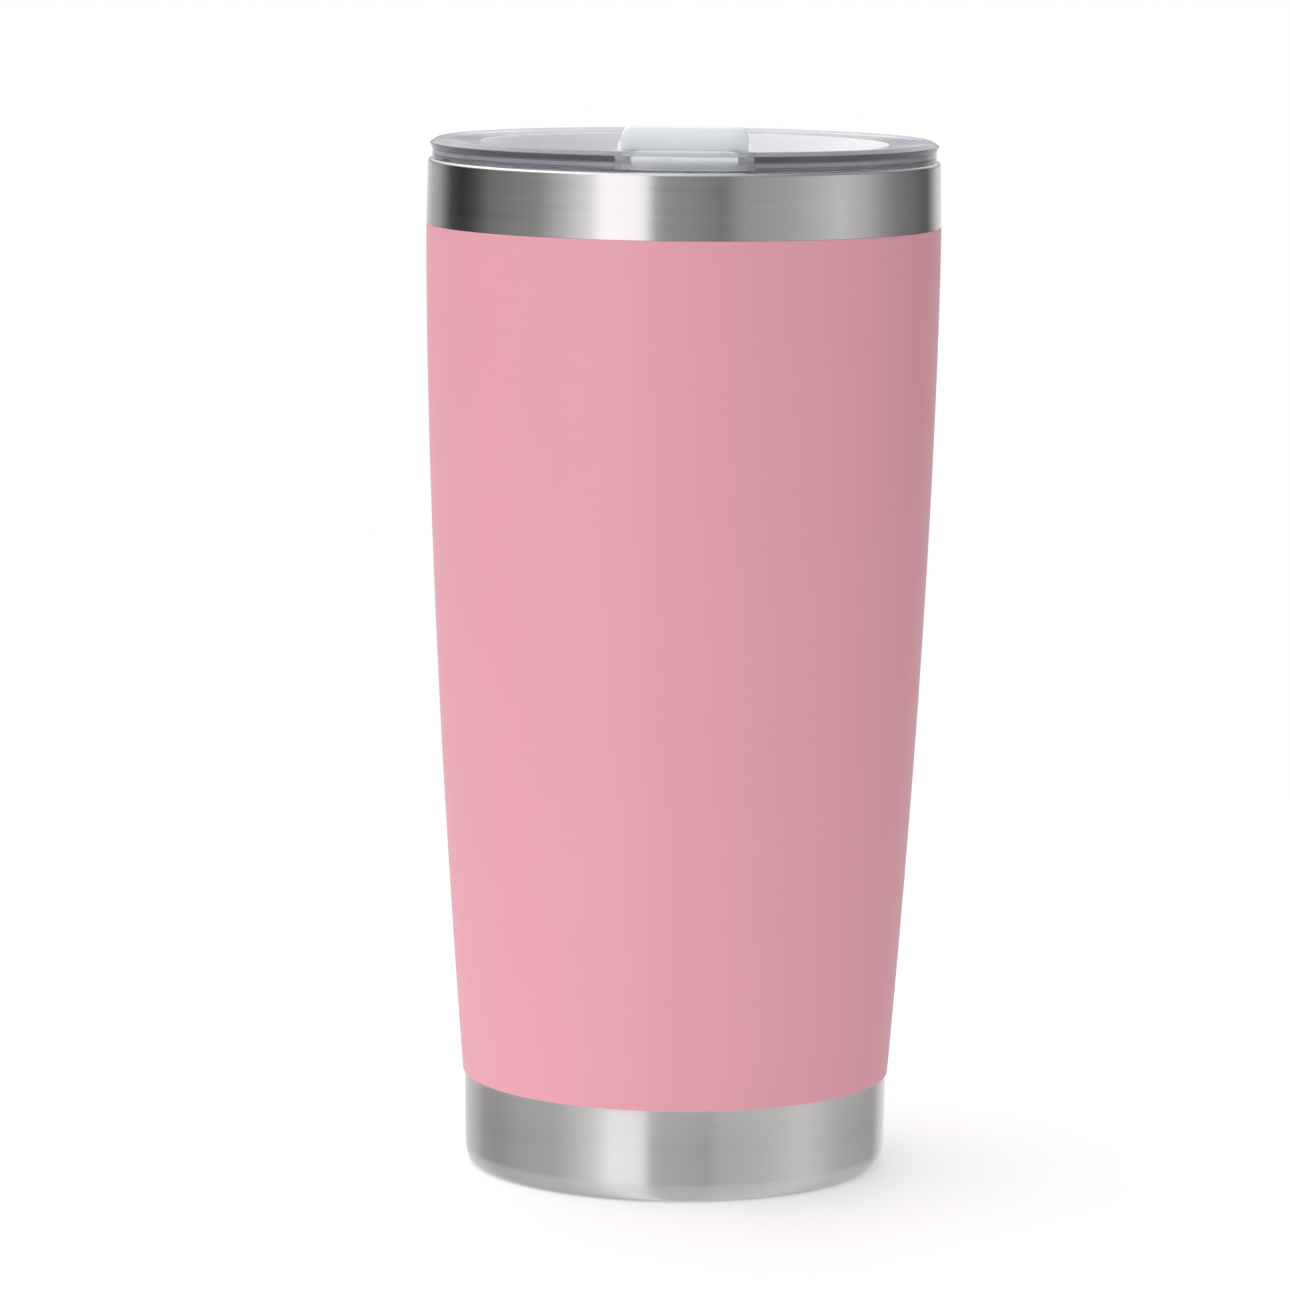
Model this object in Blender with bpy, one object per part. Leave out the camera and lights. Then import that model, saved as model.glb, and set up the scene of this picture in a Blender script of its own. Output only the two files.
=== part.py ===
"""Insulated steel tumbler with a clear press-in lid and a sliding drink-hole cover.

Frame: +Z up, origin at the centre of the base on the surface it stands on, and
the drinking side of the lid faces -Y.  Sizes below are in millimetres.
"""
import math

import bmesh
import bpy
from mathutils import Vector

MM = 0.001
TURNED_STEPS = 48        # facets round each large turned piece
SMALL_STEPS = 20         # facets round the small pieces inside the base
GAP = 0.3                # clearance between pieces that meet
SHARP_DEG = 35.0         # edges sharper than this stay crisp in the shading

# Outer body
MOUTH_LIP_Z = 172.6      # top of the steel lip
BODY_R = 43.67           # widest radius, near the top of the coating
BODY_TAPER = 6.93        # radius lost between the widest ring and the foot
TAPER_TOP_Z = 160.86
TAPER_HEIGHT = 143.94
TAPER_POWER = 1.65       # the side curves in faster towards the foot
SHELL_WALL = 0.5
FOOT_R = 34.85           # outer edge of the flat resting ring
FOOT_INNER_R = 32.5
FOOT_CORNER_Z = 3.3      # where the rounded bottom corner meets the side
BAND_LOW_R = 36.13
BAND_HIGH_R = 36.30
FOOT_TURN_UP_Z = 2.6     # the sheet turns up inside the resting ring

# Coating
COAT_LOW_Z = 15.8
COAT_HIGH_Z = 161.55
COAT_THICK = 0.15
COAT_SEAT = 0.20         # depth of coating plus its hairline gap

# Lip
LIP_INNER_R = 41.0
LIP_OUTER_R = 43.43
LIP_ROUND = 0.9
LINER_TOP_Z = 171.0

# Inner liner
LINER_WALL = 0.5
LINER_STRAIGHT_Z = 160.0  # plain bore above this height, for the lid's plug
LINER_TAPER = 10.2
LINER_TAPER_POWER = 1.1
LINER_SEAM_Z = 20.0       # weld between the liner tube and its bottom
INNER_FLOOR_Z = 13.0
INNER_CORNER_R = 6.5

# Base
CAP_PLATE_Z = 3.2
CAP_WALL = 0.5
CAP_R = 32.2
COVER_R = 31.3
COVER_Z = 0.8
PUMP_HOLE_R = 1.2
BEAD_R = 2.6
GETTER_R = 4.0
GETTER_OFFSET = 14.0

# Lid
LID_TOP_Z = 175.95
FLANGE_R = 43.15
FLANGE_WAIST_R = 42.75
FLANGE_UNDER_Z = 172.9
FLANGE_PLATE = 1.2
RECESS_R = 34.4
RECESS_FLOOR_Z = 172.1
RECESS_FLOOR = 2.0
RECESS_WALL = 1.3
SKIRT_R = 40.2
SKIRT_INNER_R = 38.0
SKIRT_LOW_Z = 163.0
GROOVE_LOW_Z = 165.2
GROOVE_HIGH_Z = 168.8
GROOVE_R = 39.1
SEAL_R = 40.7

# Slider and its channel
CHANNEL_FLOOR_Z = 172.3
CHANNEL_HALF = 8.45
UNDERCUT_HALF = 10.0
UNDERCUT_TOP_Z = 173.6
RAIL_HALF = 11.35
RAIL_FRONT_Y = -38.5
RAIL_TOP_Z = 174.7
RAIL_BACK_Y = 17.0
CHANNEL_BACK_Y = 15.0
CHANNEL_NOSE_R = 39.9
SLIDER_TRAVEL = 16.5     # from closed, at the nose, to fully open
GRIP_HALF = 10.6
GRIP_FRONT_Y = -22.0
GRIP_BACK_Y = -11.0
GRIP_TOP_Z = 179.0
GRIP_CORNER_R = 2.2
HOLE_HALF = 7.0
HOLE_FRONT_Y = -36.8
HOLE_BACK_Y = -30.3
HOLE_CORNER_R = 2.8
VENT_R = 1.5
VENT_Y = 27.0

PINK = (0.780, 0.385, 0.440)
STEEL = (0.600, 0.585, 0.570)
CLEAR = (0.840, 0.870, 0.900)
FROSTED = (0.640, 0.690, 0.750)


def clear_scene():
    """Remove whatever objects the file opened with."""
    for item in list(bpy.data.objects):
        bpy.data.objects.remove(item, do_unlink=True)


def finish_material(name, colour, roughness, metallic, alpha=1.0):
    """One Principled material per finish."""
    material = bpy.data.materials.new(name)
    material.use_nodes = True
    shader = material.node_tree.nodes["Principled BSDF"]
    shader.inputs["Base Color"].default_value = (*colour, 1.0)
    shader.inputs["Roughness"].default_value = roughness
    shader.inputs["Metallic"].default_value = metallic
    shader.inputs["Alpha"].default_value = alpha
    return material


def add_object(name, bm, material):
    """Turn a bmesh into a named, smooth-shaded object in metres."""
    bmesh.ops.remove_doubles(bm, verts=bm.verts, dist=1e-4)
    bmesh.ops.recalc_face_normals(bm, faces=bm.faces)
    bmesh.ops.scale(bm, vec=(MM, MM, MM), verts=bm.verts)
    mesh = bpy.data.meshes.new(name)
    bm.to_mesh(mesh)
    bm.free()
    mesh.shade_smooth()
    mesh.set_sharp_from_angle(angle=math.radians(SHARP_DEG))
    mesh.materials.append(material)
    item = bpy.data.objects.new(name, mesh)
    bpy.context.collection.objects.link(item)
    return item


def arc(centre_r, centre_z, radius_r, radius_z, start_deg, end_deg, steps):
    """Points along an elliptical arc in the (radius, height) plane."""
    points = []
    for step in range(steps + 1):
        angle = math.radians(start_deg + (end_deg - start_deg) * step / steps)
        points.append((centre_r + radius_r * math.cos(angle), centre_z + radius_z * math.sin(angle)))
    return points


def offset_line(line, distance):
    """The line moved sideways, to its right-hand side, by a sheet's thickness."""
    moved = []
    for index, (r, z) in enumerate(line):
        before = Vector(line[max(index - 1, 0)])
        after = Vector(line[min(index + 1, len(line) - 1)])
        here = Vector((r, z))
        normals = []
        for start, end in ((before, here), (here, after)):
            run = end - start
            if run.length > 1e-9:
                normals.append(Vector((run.y, -run.x)).normalized())
        mean = sum(normals, Vector((0.0, 0.0))).normalized()
        stretch = distance / max(mean.dot(normals[0]), 0.5)
        moved.append((r + mean.x * stretch, z + mean.y * stretch))
    return moved


def turn(name, loop, material, steps=TURNED_STEPS):
    """Spin a closed outline of (radius, height) points about Z."""
    bm = bmesh.new()
    verts = [bm.verts.new((r, 0.0, z)) for r, z in loop]
    edges = []
    for index, vert in enumerate(verts):
        neighbour = verts[(index + 1) % len(verts)]
        on_axis = vert.co.x < 1e-6 and neighbour.co.x < 1e-6
        if not on_axis:
            edges.append(bm.edges.new((vert, neighbour)))
    bmesh.ops.spin(bm, geom=verts + edges, cent=(0.0, 0.0, 0.0), axis=(0.0, 0.0, 1.0),
                   angle=math.tau, steps=steps, use_merge=True)
    return add_object(name, bm, material)


def coat_radius(z):
    """Outer radius of the coated side at a height."""
    depth = max(TAPER_TOP_Z - z, 0.0) / TAPER_HEIGHT
    return BODY_R - BODY_TAPER * depth ** TAPER_POWER


def side_heights(low, high, steps):
    """Heights down the curved side, closer together near the foot."""
    return [high - (high - low) * (step / steps) ** 0.85 for step in range(steps + 1)]


def shell_outline():
    """Outer face of the shell from the inside of the lip down to the foot's turned-up edge."""
    round_z = MOUTH_LIP_Z - LIP_ROUND
    line = [(LIP_INNER_R, LINER_TOP_Z + GAP)]
    line += arc(LIP_INNER_R + LIP_ROUND, round_z, LIP_ROUND, LIP_ROUND, 180, 90, 4)
    line += arc(LIP_OUTER_R - LIP_ROUND, round_z, LIP_ROUND, LIP_ROUND, 90, 0, 4)
    line.append((coat_radius(COAT_HIGH_Z), COAT_HIGH_Z + 0.1))
    for z in side_heights(COAT_LOW_Z + 0.4, COAT_HIGH_Z + 0.02, 9):
        line.append((coat_radius(z) - COAT_SEAT, z))
    line.append((BAND_HIGH_R, COAT_LOW_Z - 0.6))
    line.append((BAND_LOW_R, FOOT_CORNER_Z))
    line += arc(FOOT_R, FOOT_CORNER_Z, BAND_LOW_R - FOOT_R, FOOT_CORNER_Z, -22.5, -90, 3)
    line.append((FOOT_INNER_R + 0.3, 0.0))
    line.append((FOOT_INNER_R, 0.3))
    line.append((FOOT_INNER_R, FOOT_TURN_UP_Z))
    return line


def outer_shell(steel):
    """Outer wall: one steel sheet with the lip rolled in and the foot turned up."""
    outside = shell_outline()
    inside = offset_line(outside, SHELL_WALL)
    return turn("outer_shell", outside + inside[::-1], steel)


def powder_coat(paint):
    """The coloured coating, a thin skin between the two bare steel bands."""
    heights = side_heights(COAT_LOW_Z, COAT_HIGH_Z, 9)
    outside = [(coat_radius(z), z) for z in heights]
    inside = [(r - COAT_THICK, z) for r, z in outside]
    return turn("powder_coat", outside + inside[::-1], paint)


def liner_radius(z):
    """Inner radius of the liner at a height."""
    depth = max(LINER_STRAIGHT_Z - z, 0.0) / (LINER_STRAIGHT_Z - INNER_FLOOR_Z)
    return LIP_INNER_R - LINER_TAPER * depth ** LINER_TAPER_POWER


def inner_liner(steel):
    """Liner tube: plain bore at the mouth, then a taper down to the bottom weld."""
    heights = [LINER_TOP_Z] + side_heights(LINER_SEAM_Z, LINER_STRAIGHT_Z, 8)
    bore = [(liner_radius(z), z) for z in heights]
    back = [(r + LINER_WALL, z) for r, z in bore]
    return turn("inner_liner", bore + back[::-1], steel)


def inner_bottom(steel):
    """Dished bottom welded to the liner tube, rounded into the side."""
    top_r = liner_radius(LINER_SEAM_Z)
    low_r = top_r - INNER_CORNER_R
    rise = INNER_CORNER_R
    line = [(top_r, LINER_SEAM_Z - GAP)]
    line += arc(low_r, INNER_FLOOR_Z + rise, INNER_CORNER_R, rise, 0, -90, 5)
    line.append((0.0, INNER_FLOOR_Z))
    under = [(max(r, 0.0), z) for r, z in offset_line(line, -LINER_WALL)]
    return turn("inner_bottom", line + under[::-1], steel)


def base_cap(steel):
    """Outer bottom: a pressed plate with a turned-down rim and the pump-down hole."""
    plate_top = CAP_PLATE_Z + CAP_WALL
    loop = [
        (PUMP_HOLE_R, plate_top),
        (CAP_R - 0.8, plate_top),
        (CAP_R, plate_top - 0.8),
        (CAP_R, 0.9),
        (CAP_R - CAP_WALL, 0.9),
        (CAP_R - CAP_WALL, CAP_PLATE_Z - 0.6),
        (CAP_R - 0.8 - CAP_WALL, CAP_PLATE_Z),
        (PUMP_HOLE_R, CAP_PLATE_Z),
    ]
    return turn("base_cap", loop, steel)


def base_cover(steel):
    """Thin cover disc that hides the pump-down seal, set just above the resting ring."""
    thick = 0.5
    crown = 0.25
    loop = [
        (0.0, COVER_Z + thick + crown),
        (COVER_R - 3.0, COVER_Z + thick + crown),
        (COVER_R, COVER_Z + thick),
        (COVER_R, COVER_Z),
        (COVER_R - 3.0, COVER_Z + crown),
        (0.0, COVER_Z + crown),
    ]
    return turn("base_cover", loop, steel)


def vacuum_bead(glass):
    """Bead of sealing glass melted over the pump-down hole."""
    high = CAP_PLATE_Z - GAP
    low = COVER_Z + 0.5 + 0.25 + GAP
    loop = [(0.0, high), (BEAD_R, high)]
    loop += arc(0.0, high - 0.2, BEAD_R, high - 0.2 - low, 0, -90, 3)
    return turn("vacuum_bead", loop, glass, SMALL_STEPS)


def getter_pill(alloy):
    """Gas-absorbing pellet inside the vacuum."""
    low = CAP_PLATE_Z + CAP_WALL + 0.5 + 2 * GAP
    loop = [(0.0, low + 2.0), (GETTER_R, low + 2.0), (GETTER_R, low), (0.0, low)]
    pill = turn("getter_pill", loop, alloy, SMALL_STEPS)
    pill.location.x = GETTER_OFFSET * MM
    return pill


def getter_holder(steel):
    """Small cup, spot-welded to the base cap, that holds the pellet."""
    low = CAP_PLATE_Z + CAP_WALL + GAP
    bore = GETTER_R + GAP
    loop = [
        (bore, low + 2.2),
        (bore, low + 0.5),
        (0.0, low + 0.5),
        (0.0, low),
        (bore + 0.5, low),
        (bore + 0.5, low + 2.2),
    ]
    holder = turn("getter_holder", loop, steel, SMALL_STEPS)
    holder.location.x = GETTER_OFFSET * MM
    return holder


def lid_gasket(silicone):
    """Silicone ring in the plug's groove, with two sealing lips."""
    low = GROOVE_LOW_Z + GAP
    high = GROOVE_HIGH_Z - GAP
    back = GROOVE_R + GAP
    loop = [
        (back, high),
        (SEAL_R - 0.5, high),
        (SEAL_R, high - 0.5),
        (SEAL_R - 0.5, high - 1.0),
        (SEAL_R - 0.5, low + 1.0),
        (SEAL_R, low + 0.5),
        (SEAL_R - 0.5, low),
        (back, low),
    ]
    return turn("lid_gasket", loop, silicone)


def lid_ring_outline():
    """Section of the lid: recessed floor, flat top ring, flange, plug skirt and moulding groove."""
    floor_under = RECESS_FLOOR_Z - RECESS_FLOOR
    plate_under = LID_TOP_Z - FLANGE_PLATE
    return [
        (0.0, RECESS_FLOOR_Z),
        (RECESS_R - 1.1, RECESS_FLOOR_Z),
        (RECESS_R - 0.4, RECESS_FLOOR_Z + 0.6),
        (RECESS_R, LID_TOP_Z - 0.3),
        (RECESS_R + 0.3, LID_TOP_Z),
        (FLANGE_R - 0.6, LID_TOP_Z),
        (FLANGE_R, LID_TOP_Z - 0.8),
        (FLANGE_WAIST_R, FLANGE_UNDER_Z + 0.8),
        (FLANGE_WAIST_R, FLANGE_UNDER_Z),
        (SKIRT_R, FLANGE_UNDER_Z),
        (SKIRT_R, GROOVE_HIGH_Z),
        (GROOVE_R, GROOVE_HIGH_Z),
        (GROOVE_R, GROOVE_LOW_Z),
        (SKIRT_R, GROOVE_LOW_Z),
        (SKIRT_R - 0.2, SKIRT_LOW_Z + 0.8),
        (SKIRT_R - 0.9, SKIRT_LOW_Z),
        (SKIRT_INNER_R, SKIRT_LOW_Z),
        (SKIRT_INNER_R, plate_under),
        (RECESS_R + RECESS_WALL, plate_under),
        (RECESS_R + RECESS_WALL, floor_under),
        (0.0, floor_under),
    ]


def prism(outline, low, high):
    """A bmesh made by extruding an outline of (x, y) points from low to high."""
    bm = bmesh.new()
    base = bm.faces.new([bm.verts.new((x, y, low)) for x, y in outline])
    grown = bmesh.ops.extrude_face_region(bm, geom=[base])
    top = [part for part in grown["geom"] if isinstance(part, bmesh.types.BMVert)]
    bmesh.ops.translate(bm, vec=(0.0, 0.0, high - low), verts=top)
    return bm


def nose_outline(half, nose_r, tail_y):
    """Plan of a strip that runs back from a nose rounded to the lid's own circle."""
    end_angle = math.degrees(math.asin(half / nose_r))
    nose = arc(0.0, 0.0, nose_r, nose_r, -90 - end_angle, -90 + end_angle, 4)
    return nose + [(half, tail_y), (-half, tail_y)]


def rounded_rectangle(x_low, x_high, y_low, y_high, radius, steps=3):
    """Plan outline of a rectangle with rounded corners."""
    outline = []
    corners = ((x_high, y_low, -90), (x_high, y_high, 0), (x_low, y_high, 90), (x_low, y_low, 180))
    for x, y, start in corners:
        centre_x = x - math.copysign(radius, x)
        centre_y = y + radius if y == y_low else y - radius
        outline += arc(centre_x, centre_y, radius, radius, start, start + 90, steps)
    return outline


def cut_or_join(item, name, bm, operation):
    """Apply a helper solid to a piece by an exact Boolean, and keep it as a hidden guide."""
    helper = add_object(name, bm, item.data.materials[0])
    helper.hide_render = True
    helper.display_type = "WIRE"
    boolean = item.modifiers.new(name, "BOOLEAN")
    boolean.operation = operation
    boolean.solver = "EXACT"
    boolean.object = helper


def lid_body(clear):
    """Clear lid: turned section, slider rails, channel, drink hole and vent."""
    lid = turn("lid_body", lid_ring_outline(), clear)
    rails = [(-RAIL_HALF, RAIL_FRONT_Y), (RAIL_HALF, RAIL_FRONT_Y)]
    rails += [(RAIL_HALF, RAIL_BACK_Y), (-RAIL_HALF, RAIL_BACK_Y)]
    cut_or_join(lid, "guide_rails", prism(rails, 170.5, RAIL_TOP_Z), "UNION")
    slot = nose_outline(CHANNEL_HALF, CHANNEL_NOSE_R, CHANNEL_BACK_Y)
    cut_or_join(lid, "guide_slot", prism(slot, CHANNEL_FLOOR_Z, LID_TOP_Z + 2.0), "DIFFERENCE")
    undercut = nose_outline(UNDERCUT_HALF, CHANNEL_NOSE_R, CHANNEL_BACK_Y)
    cut_or_join(lid, "guide_undercut", prism(undercut, CHANNEL_FLOOR_Z, UNDERCUT_TOP_Z), "DIFFERENCE")
    hole = rounded_rectangle(-HOLE_HALF, HOLE_HALF, HOLE_FRONT_Y, HOLE_BACK_Y, HOLE_CORNER_R)
    cut_or_join(lid, "guide_drink_hole", prism(hole, 168.0, 173.0), "DIFFERENCE")
    vent = [(x, y + VENT_Y) for x, y in arc(0.0, 0.0, VENT_R, VENT_R, 0, 330, 11)]
    cut_or_join(lid, "guide_vent", prism(vent, 168.0, 175.0), "DIFFERENCE")
    return lid


def lid_slider(frosted):
    """Sliding cover: a captured plate and, above the rails, a wide raised grip."""
    nose_r = CHANNEL_NOSE_R - GAP
    tail_y = CHANNEL_BACK_Y - SLIDER_TRAVEL - GAP
    plate_half = CHANNEL_HALF - GAP
    low = CHANNEL_FLOOR_Z + GAP
    plate = prism(nose_outline(plate_half, nose_r, tail_y), low, RAIL_TOP_Z + 0.4)
    slider = add_object("lid_slider", plate, frosted)
    runner = prism(nose_outline(UNDERCUT_HALF - GAP, nose_r, tail_y + 0.001), low + 0.001,
                   UNDERCUT_TOP_Z - GAP)
    cut_or_join(slider, "guide_runner", runner, "UNION")
    cut_or_join(slider, "guide_grip", grip_block(), "UNION")
    return slider


def grip_block():
    """Raised grip: square front face with rounded upper corners and a sloped thumb rest behind."""
    low = RAIL_TOP_Z + GAP
    corner_z = GRIP_TOP_Z - GRIP_CORNER_R
    corner_x = GRIP_HALF - GRIP_CORNER_R
    front = [(-GRIP_HALF, low), (GRIP_HALF, low)]
    front += arc(corner_x, corner_z, GRIP_CORNER_R, GRIP_CORNER_R, 0, 90, 4)
    front += arc(-corner_x, corner_z, GRIP_CORNER_R, GRIP_CORNER_R, 90, 180, 4)
    bm = bmesh.new()
    face = bm.faces.new([bm.verts.new((x, GRIP_FRONT_Y, z)) for x, z in front])
    grown = bmesh.ops.extrude_face_region(bm, geom=[face])
    back = [part for part in grown["geom"] if isinstance(part, bmesh.types.BMVert)]
    for vert in back:
        rise = (vert.co.z - low) / (GRIP_TOP_Z - low)
        vert.co.y = GRIP_BACK_Y - 5.0 * rise
    return bm


def build():
    clear_scene()
    shell_steel = finish_material("shell_steel", STEEL, 0.30, 1.0)
    liner_steel = finish_material("liner_steel", STEEL, 0.36, 1.0)
    base_steel = finish_material("base_steel", STEEL, 0.34, 1.0)
    paint = finish_material("pink_coat", PINK, 0.42, 0.0)
    clear = finish_material("lid_clear", CLEAR, 0.05, 0.0, 0.45)
    frosted = finish_material("slider_frosted", FROSTED, 0.35, 0.0, 0.85)
    silicone = finish_material("seal_silicone", (0.75, 0.77, 0.78), 0.5, 0.0)
    glass = finish_material("bead_glass", (0.25, 0.30, 0.28), 0.2, 0.0)
    alloy = finish_material("getter_alloy", (0.20, 0.20, 0.21), 0.6, 1.0)
    outer_shell(shell_steel)
    powder_coat(paint)
    inner_liner(liner_steel)
    inner_bottom(liner_steel)
    base_cap(base_steel)
    base_cover(base_steel)
    vacuum_bead(glass)
    getter_pill(alloy)
    getter_holder(base_steel)
    lid_gasket(silicone)
    lid_body(clear)
    lid_slider(frosted)


build()
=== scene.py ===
# %% [markdown]
# # An insulated tumbler with a clear slide lid
# The tumbler is a double-walled steel cup.  A pink powder coating covers its tapered side and
# leaves a bare steel band at the top and at the foot.  A clear lid presses into the mouth on a
# silicone ring, and a frosted slider runs in it over the drink hole.
#
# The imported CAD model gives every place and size.  The pieces here are finer versions of the
# same parts: round edges, more facets, and a finish with brushing, grain or moulding marks.

import math

import bmesh
import bpy
from mathutils import Matrix, Vector


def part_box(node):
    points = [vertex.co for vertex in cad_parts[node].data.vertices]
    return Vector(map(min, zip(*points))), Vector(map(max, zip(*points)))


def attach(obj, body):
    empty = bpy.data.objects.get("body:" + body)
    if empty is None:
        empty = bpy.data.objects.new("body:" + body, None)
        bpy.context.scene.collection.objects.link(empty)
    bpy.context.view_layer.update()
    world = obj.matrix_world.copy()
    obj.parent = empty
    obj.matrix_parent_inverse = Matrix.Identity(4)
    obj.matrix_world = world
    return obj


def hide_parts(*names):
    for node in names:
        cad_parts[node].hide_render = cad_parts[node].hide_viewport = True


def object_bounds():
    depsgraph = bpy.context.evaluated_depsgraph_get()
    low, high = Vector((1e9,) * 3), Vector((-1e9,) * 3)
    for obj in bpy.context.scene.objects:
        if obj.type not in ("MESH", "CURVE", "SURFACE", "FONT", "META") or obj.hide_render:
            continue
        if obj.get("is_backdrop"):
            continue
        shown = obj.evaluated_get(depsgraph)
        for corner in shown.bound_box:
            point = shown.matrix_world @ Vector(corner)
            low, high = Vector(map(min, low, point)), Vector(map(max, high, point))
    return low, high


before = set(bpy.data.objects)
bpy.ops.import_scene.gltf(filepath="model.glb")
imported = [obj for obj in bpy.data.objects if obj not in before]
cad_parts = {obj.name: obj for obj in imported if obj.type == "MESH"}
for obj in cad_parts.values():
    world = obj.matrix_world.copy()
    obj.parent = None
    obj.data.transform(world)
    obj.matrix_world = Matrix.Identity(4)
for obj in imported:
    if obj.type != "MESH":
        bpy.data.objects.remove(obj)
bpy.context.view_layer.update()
MM = 0.001

# %% [markdown]
# ## Sizes that come from the frame
# Each CAD node's box is read once.  The outlines below are written in millimetres, since a
# maker's drawing of a cup is, and they hang on these few numbers.  The steel sheet is half a
# millimetre thick, and pieces that move keep the same small clearance everywhere.

# %% Driving sizes
SHELL_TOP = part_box("outer_shell")[1].z / MM
COAT_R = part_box("powder_coat")[1].x / MM
COAT_LOW, COAT_HIGH = (corner.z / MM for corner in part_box("powder_coat"))
LID_LOW, LID_TOP = (corner.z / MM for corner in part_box("lid_body"))
FLANGE_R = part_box("lid_body")[1].x / MM
SEAL_LOW, SEAL_HIGH = (corner.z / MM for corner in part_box("lid_gasket"))
SEAL_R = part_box("lid_gasket")[1].x / MM
GRIP_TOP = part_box("lid_slider")[1].z / MM
GRIP_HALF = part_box("lid_slider")[1].x / MM
NOSE_R = -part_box("lid_slider")[0].y / MM
LINER_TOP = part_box("inner_liner")[1].z / MM
SEAM_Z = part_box("inner_liner")[0].z / MM
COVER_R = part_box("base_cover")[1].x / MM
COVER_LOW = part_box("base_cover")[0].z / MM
SEGMENTS = 128
CLEARANCE = 0.3
SHEET = 0.5
print("lip at", round(SHELL_TOP, 1), "widest", round(2 * COAT_R, 1), "lid top", round(LID_TOP, 1))

# %% [markdown]
# ## Helpers for turned pieces
# Almost every piece is round, so it is an outline of (radius, height) points swept about Z, as
# on a lathe.  A corner may carry a radius, and `rounded` puts an arc there: that is how a pressed
# or moulded edge catches the light.  The Screw modifier would do the sweep too, but `spin` in
# bmesh gives a closed mesh at once, with no seam to merge.

# %% Outline helpers
def arc(centre_r, centre_z, size_r, size_z, start, end, steps):
    """Points along an elliptical arc, angles in degrees."""
    points = []
    for step in range(steps + 1):
        angle = math.radians(start + (end - start) * step / steps)
        points.append((centre_r + size_r * math.cos(angle), centre_z + size_z * math.sin(angle)))
    return points


def rounded(corners, steps=4):
    """Closed outline through (r, z, radius) corners, each rounded by its own radius."""
    outline = []
    for index, (r, z, radius) in enumerate(corners):
        here = Vector((r, z))
        if radius <= 0:
            outline.append((r, z))
            continue
        back = Vector(corners[index - 1][:2]) - here
        ahead = Vector(corners[(index + 1) % len(corners)][:2]) - here
        half = back.angle(ahead) / 2
        reach = min(radius / math.tan(half), 0.49 * back.length, 0.49 * ahead.length)
        start = here + back.normalized() * reach
        end = here + ahead.normalized() * reach
        for step in range(steps + 1):
            t = step / steps
            point = start * (1 - t) ** 2 + here * 2 * t * (1 - t) + end * t ** 2
            outline.append((point.x, point.y))
    return outline


def thickened(line, wall):
    """Closed outline of a sheet: the line, and the same line moved to its right by the wall."""
    other = []
    for index, point in enumerate(line):
        here = Vector(point)
        normals = []
        for start, end in ((max(index - 1, 0), index), (index, min(index + 1, len(line) - 1))):
            run = Vector(line[end]) - Vector(line[start])
            if run.length > 1e-9:
                normals.append(Vector((run.y, -run.x)).normalized())
        mean = sum(normals, Vector((0.0, 0.0))).normalized()
        moved = here + mean * wall / max(mean.dot(normals[0]), 0.5)
        other.append((max(moved.x, 0.0), moved.y))
    return line + other[::-1]


# %% Mesh helpers
def shade(mesh, sharp_angle):
    """Smooth shading, with edges steeper than an angle in degrees left sharp."""
    mesh.shade_smooth()
    mesh.set_sharp_from_angle(angle=math.radians(sharp_angle))


def piece_from(name, bm):
    """Named, smooth-shaded object from a bmesh drawn in millimetres."""
    bmesh.ops.remove_doubles(bm, verts=bm.verts, dist=1e-4)
    bmesh.ops.recalc_face_normals(bm, faces=bm.faces)
    bmesh.ops.scale(bm, vec=(MM, MM, MM), verts=bm.verts)
    mesh = bpy.data.meshes.new(name)
    bm.to_mesh(mesh)
    bm.free()
    shade(mesh, 40.0)
    item = bpy.data.objects.new(name, mesh)
    bpy.context.scene.collection.objects.link(item)
    return item


def turned(name, outline):
    """Object made by spinning a closed outline about Z."""
    bm = bmesh.new()
    verts = [bm.verts.new((r, 0.0, z)) for r, z in outline]
    edges = []
    for index, vert in enumerate(verts):
        after = verts[(index + 1) % len(verts)]
        if vert.co.x > 1e-6 or after.co.x > 1e-6:
            edges.append(bm.edges.new((vert, after)))
    bmesh.ops.spin(bm, geom=verts + edges, cent=(0, 0, 0), axis=(0, 0, 1),
                   angle=math.tau, steps=SEGMENTS, use_merge=True)
    return piece_from(name, bm)


def grown_face(bm, points):
    """A face through 3-D points, extruded in place; gives the new face's corners, to be moved."""
    base = bm.faces.new([bm.verts.new(point) for point in points])
    grown = bmesh.ops.extrude_face_region(bm, geom=[base])
    return [part for part in grown["geom"] if isinstance(part, bmesh.types.BMVert)]


def prism(outline, low, high):
    """bmesh of a plan outline carried from one height to another."""
    bm = bmesh.new()
    top = grown_face(bm, [(x, y, low) for x, y in outline])
    bmesh.ops.translate(bm, vec=(0, 0, high - low), verts=top)
    return bm


def combine(item, other, operation):
    """Boolean another solid into a piece, apply it and drop the helper."""
    step = item.modifiers.new("combine", "BOOLEAN")
    step.operation = operation
    step.solver = "EXACT"
    step.object = other
    bpy.context.view_layer.update()
    shown = item.evaluated_get(bpy.context.evaluated_depsgraph_get())
    item.data = bpy.data.meshes.new_from_object(shown)
    item.modifiers.clear()
    bpy.data.objects.remove(other, do_unlink=True)


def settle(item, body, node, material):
    """Hang a piece on its body, let it stand for its CAD node and give it its finish."""
    item.data.materials.clear()
    item.data.materials.append(material)
    even = item.modifiers.new("even_shading", "WEIGHTED_NORMAL")
    even.keep_sharp = True
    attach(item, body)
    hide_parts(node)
    print(item.name, "faces:", len(item.data.polygons))


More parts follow.
